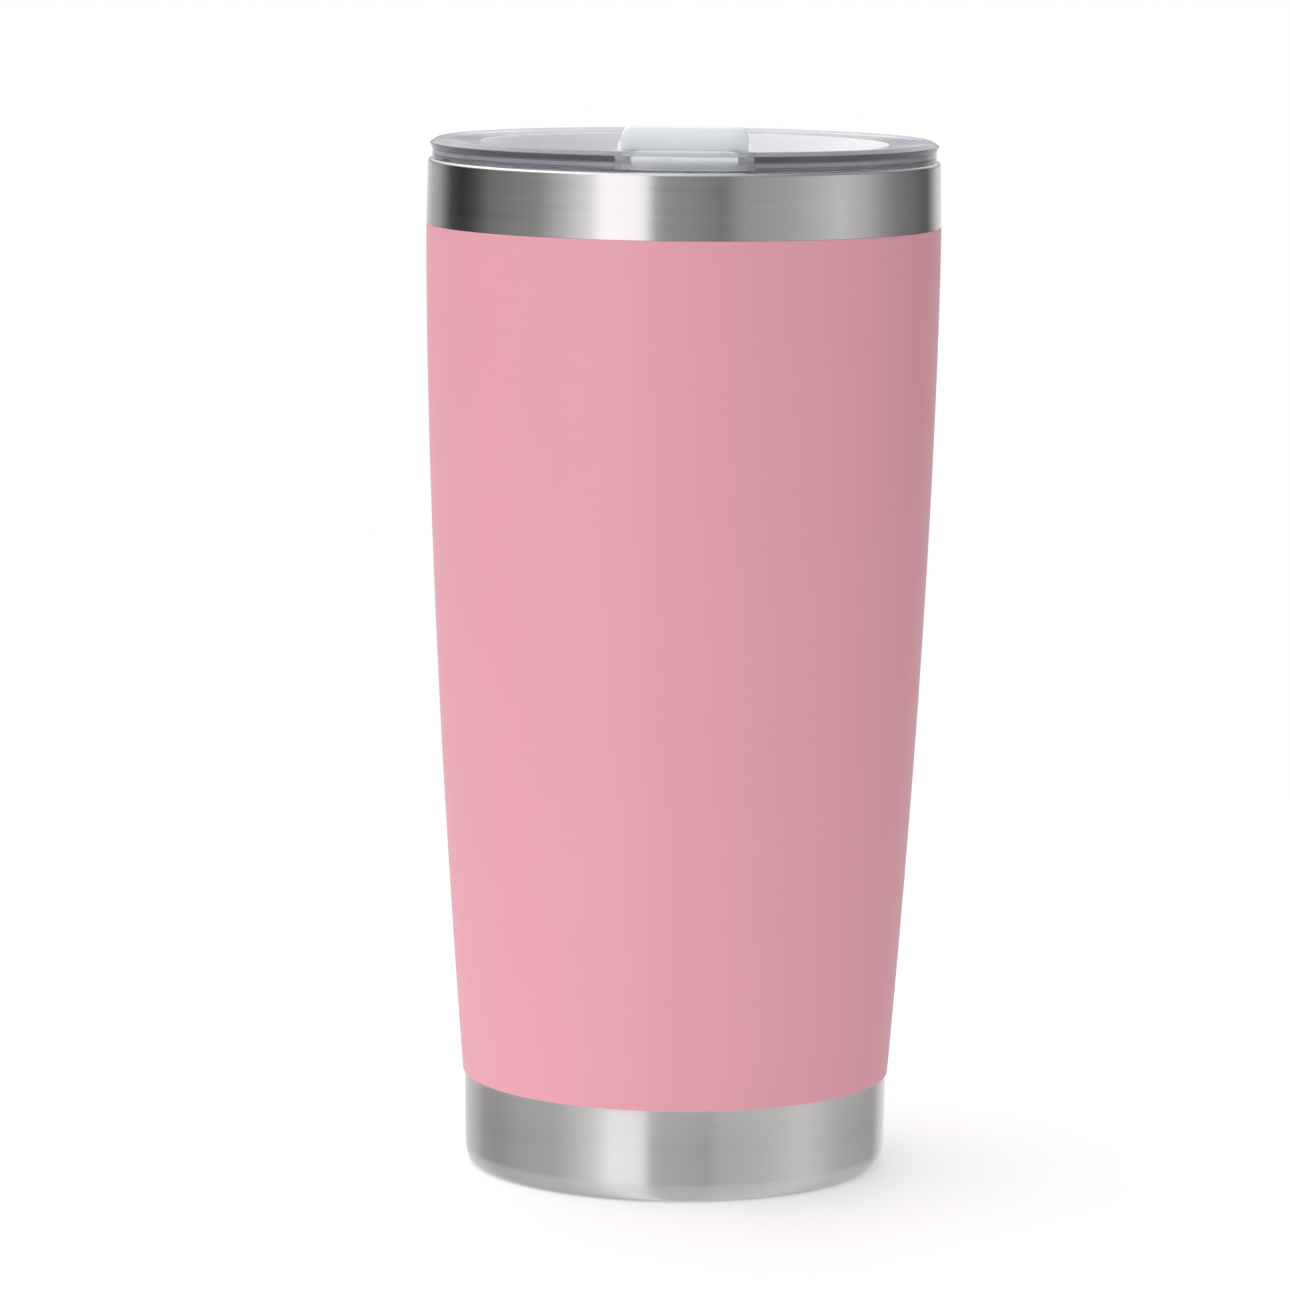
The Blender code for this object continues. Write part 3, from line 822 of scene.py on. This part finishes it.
# %% Frost the wall and the rails
lid.data.materials.append(recess_plastic)
for face in lid.data.polygons:
    x, y, z = face.center / MM
    radius = math.hypot(x, y)
    on_wall = RECESS_R - 3.6 < radius < RECESS_R + 0.2
    on_rails = abs(x) < RAIL_HALF + 0.1 and y < RAIL_BACK + 0.1 and radius < NOSE_R - 0.3
    if RECESS_FLOOR + 0.02 < z < LID_TOP - 0.2 and (on_wall or on_rails):
        face.material_index = 1
print("frosted faces:", sum(face.material_index for face in lid.data.polygons))

# %% [markdown]
# ## Slider
# The slider is a plate caught under the two rails, with a wide grip standing on it.  Each of its
# three solids has its sharp edges bevelled before they are joined, as a moulded piece that is
# pushed by a thumb would be.  A bevel on the joined piece would also round the inside corners.

# %% Make the slider
TRAVEL = 16.5
GRIP_LOW = RAIL_TOP + CLEARANCE
GRIP_FRONT, GRIP_BACK, GRIP_LEAN = -22.0, -11.0, 5.0
GRIP_CORNER = 1.9


def eased(bm, width):
    """Round every sharp edge of a solid."""
    bm.normal_update()
    sharp = [edge for edge in bm.edges if edge.calc_face_angle(0.0) > math.radians(30)]
    bmesh.ops.bevel(bm, geom=sharp, offset=width, segments=4, profile=0.5, affect="EDGES",
                    clamp_overlap=True)
    return bm


def grip_block():
    """Grip with rounded upper corners, a square front and a sloped thumb rest behind."""
    side, top = GRIP_HALF - GRIP_CORNER, GRIP_TOP - GRIP_CORNER
    face = [(-GRIP_HALF, GRIP_LOW), (GRIP_HALF, GRIP_LOW)]
    face += arc(side, top, GRIP_CORNER, GRIP_CORNER, 0, 90, 8)
    face += arc(-side, top, GRIP_CORNER, GRIP_CORNER, 90, 180, 8)
    bm = bmesh.new()
    for vert in grown_face(bm, [(x, GRIP_FRONT, z) for x, z in face]):
        vert.co.y = GRIP_BACK - GRIP_LEAN * (vert.co.z - GRIP_LOW) / (GRIP_TOP - GRIP_LOW)
    bmesh.ops.recalc_face_normals(bm, faces=bm.faces)
    return bm


slider_low = CHANNEL_FLOOR + CLEARANCE
tail = CHANNEL_BACK - TRAVEL - CLEARANCE
plate = prism(nose_plan(CHANNEL_HALF - CLEARANCE, NOSE_R, tail), slider_low, RAIL_TOP + 0.4)
runner = prism(nose_plan(UNDERCUT_HALF - CLEARANCE, NOSE_R - 0.5, tail - 0.5),
               slider_low + 0.01, UNDERCUT_TOP - CLEARANCE)
slider = piece_from("frosted_slider", eased(plate, 0.2))
combine(slider, piece_from("runner", eased(runner, 0.15)), "UNION")
combine(slider, piece_from("grip", eased(grip_block(), 0.35)), "UNION")
shade(slider.data, 40.0)
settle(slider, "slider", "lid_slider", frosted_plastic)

# %% [markdown]
# ## Floor
# The cup stands on a pale table lit from below, so its shadow is soft and faint, and the table
# fades out into a white room.  The steel does not mirror the table: the sky holds the light that
# comes off it, which keeps the brushed bands free of a hard line at the table's edge.

# %% Floor
FLOOR_RADIUS = 600.0
FADE_START, FADE_END = 0.22, 0.55


def floor_finish():
    """Pale matt floor that fades away from the cup."""
    material, tree, shader = new_material("pale_floor", Roughness=0.6)
    shader.inputs["Specular IOR Level"].default_value = 0.2
    shader.inputs["Emission Color"].default_value = (1.0, 1.0, 1.0, 1.0)
    shader.inputs["Emission Strength"].default_value = 0.42
    place = add_node(tree, "ShaderNodeTexCoord")
    speck = add_node(tree, "ShaderNodeTexNoise", {"Scale": 40.0, "Detail": 4.0})
    tree.links.new(place.outputs["Object"], speck.inputs["Vector"])
    tone = blend(tree, speck.outputs["Fac"], (0.61, 0.61, 0.61), (0.64, 0.64, 0.64))
    tree.links.new(tone, shader.inputs["Base Color"])
    reach = add_node(tree, "ShaderNodeVectorMath", operation="LENGTH")
    tree.links.new(place.outputs["Object"], reach.inputs[0])
    gone = soft_step(tree, reach.outputs["Value"], FADE_START, FADE_END)
    tree.links.new(math_node(tree, "SUBTRACT", 1.0, gone), shader.inputs["Alpha"])
    return material


def make_floor():
    """Round floor just under the foot."""
    bm = bmesh.new()
    bmesh.ops.create_circle(bm, cap_ends=True, segments=96, radius=FLOOR_RADIUS)
    bmesh.ops.translate(bm, vec=(0, 0, -0.05), verts=bm.verts)
    floor = piece_from("pale_floor", bm)
    floor.data.materials.append(floor_finish())
    floor.visible_glossy = False
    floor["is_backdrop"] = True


make_floor()

# %% [markdown]
# ## Light
# One soft sky, built from the way a product table is lit.  Round the horizon stands a ring of
# soft boxes and dark cards: a tall bright box at the front left, a wide weaker one at the right,
# and dark cards at both sides that draw the dark edges on polished metal.  Above it is a bright
# overhead, a little stronger on the left, and below it the glow of the table.  A low cool-grey
# card stands behind, where the lid's flat ring mirrors it.  Lamps would do too, but a sky has no
# hard edges or noise, and each part of it can be moved by degrees.

# %% Sky
# (degrees round from the camera, positive to the right; brightness)
RING = ((-180, 0.95), (-160, 0.65), (-142, 0.45), (-128, 0.06), (-117, 0.0), (-107, 0.04), (-96, 0.17),
        (-68, 0.27), (-55, 0.62), (-42, 1.10), (-36, 1.65), (-17.5, 1.55), (-13, 0.5), (-8, 0.34), (4, 0.30),
        (18, 0.20), (25, 0.40), (48, 0.52), (74, 0.82), (88, 0.62), (104, 0.33), (128, 0.18), (140, 0.12),
        (155, 0.70), (180, 0.95))
RING_PEAK = 2.0
OVERHEAD, OVERHEAD_RIGHT, OVERHEAD_BACK, OVERHEAD_LEAST = 1.18, -1.08, 0.3, 0.15
OVERHEAD_RISE = (5.0, 35.0)
TABLE, TABLE_HIDES, TABLE_DROP = 0.65, 0.7, (-5.0, -18.0)
CARD_FOOT, CARD_TOP, CARD_SIDES = (0.5, 1.5), (5.0, 8.0), (0.1, 0.5)
CARD_DIM, CARD_COLOUR = 0.35, (0.90, 0.92, 1.0)
WHITE = (1.0, 1.0, 1.0)


def climb(tree, height, start, end):
    """0 to 1 as a direction passes from one elevation to another, in degrees."""
    return soft_step(tree, height, math.sin(math.radians(start)), math.sin(math.radians(end)))


def ring_light(tree, x, y):
    """Brightness of the soft boxes and dark cards round the horizon."""
    turn = math_node(tree, "ARCTAN2", x, math_node(tree, "MULTIPLY", y, -1.0))
    share = math_node(tree, "ADD", math_node(tree, "DIVIDE", turn, math.tau), 0.5)
    points = [((degrees + 180) / 360, value / RING_PEAK) for degrees, value in RING]
    return math_node(tree, "MULTIPLY", ramp(tree, share, points), RING_PEAK)


def overhead_light(tree, x, y):
    """Brightness of the box above, which leans to the left and the back."""
    lean = math_node(tree, "MULTIPLY_ADD", x, OVERHEAD_RIGHT, OVERHEAD)
    lean = math_node(tree, "MULTIPLY_ADD", y, OVERHEAD_BACK, lean)
    return math_node(tree, "MAXIMUM", lean, OVERHEAD_LEAST)


def back_card(tree, y, z):
    """0 to 1 where the low grey card stands behind."""
    band = math_node(tree, "SUBTRACT", climb(tree, z, *CARD_FOOT), climb(tree, z, *CARD_TOP))
    return math_node(tree, "MULTIPLY", band, soft_step(tree, y, *CARD_SIDES))


def make_sky():
    """World light: the ring, the table's glow, the overhead and the card; plain white to the camera."""
    world = bpy.data.worlds.new("studio")
    bpy.context.scene.world = world
    world.use_nodes = True
    tree = world.node_tree
    background = tree.nodes["Background"]
    place = add_node(tree, "ShaderNodeTexCoord")
    split = add_node(tree, "ShaderNodeSeparateXYZ")
    tree.links.new(place.outputs["Generated"], split.inputs[0])
    x, y, z = split.outputs
    up = climb(tree, z, *OVERHEAD_RISE)
    down = climb(tree, z, *TABLE_DROP)
    around = math_node(tree, "MULTIPLY", ring_light(tree, x, y),
                       math_node(tree, "MULTIPLY_ADD", down, -TABLE_HIDES, 1.0))
    around = math_node(tree, "MULTIPLY_ADD", down, TABLE, around)
    light = math_node(tree, "MULTIPLY", around, math_node(tree, "SUBTRACT", 1.0, up))
    light = math_node(tree, "MULTIPLY_ADD", up, overhead_light(tree, x, y), light)
    card = back_card(tree, y, z)
    light = math_node(tree, "MULTIPLY", light, math_node(tree, "MULTIPLY_ADD", card, -CARD_DIM, 1.0))
    seen = add_node(tree, "ShaderNodeLightPath").outputs["Is Camera Ray"]
    unseen = math_node(tree, "SUBTRACT", 1.0, seen)
    strength = math_node(tree, "ADD", math_node(tree, "MULTIPLY", light, unseen), seen)
    tree.links.new(strength, background.inputs["Strength"])
    tint = blend(tree, math_node(tree, "MULTIPLY", card, unseen), WHITE, CARD_COLOUR)
    tree.links.new(tint, background.inputs["Color"])


make_sky()

# %% [markdown]
# ## Camera
# A long lens a metre away, a little above the lid, tipped down to the middle of the cup.

# %% Camera
DISTANCE, HEIGHT = 1016.2, 227.5
PITCH, YAW, ROLL = 7.744, 0.332, 0.554
camera_data = bpy.data.cameras.new("camera")
camera_data.lens = 166.95
camera_data.sensor_width = 36.0
camera_data.clip_start = 0.05
camera_data.clip_end = 50.0
camera = bpy.data.objects.new("camera", camera_data)
bpy.context.scene.collection.objects.link(camera)
turn_left = Matrix.Rotation(math.radians(YAW), 4, "Z")
tip_down = Matrix.Rotation(math.radians(90 - PITCH), 4, "X")
lean = Matrix.Rotation(math.radians(ROLL), 4, "Z")
camera.matrix_world = Matrix.Translation((0, -DISTANCE * MM, HEIGHT * MM)) @ turn_left @ tip_down @ lean
bpy.context.scene.camera = camera
bpy.context.scene.view_settings.view_transform = "Standard"
bpy.context.scene.view_settings.look = "None"

# %% Sizes and finish
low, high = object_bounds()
print("visual box, mm:", [round(side / MM, 1) for side in high - low])
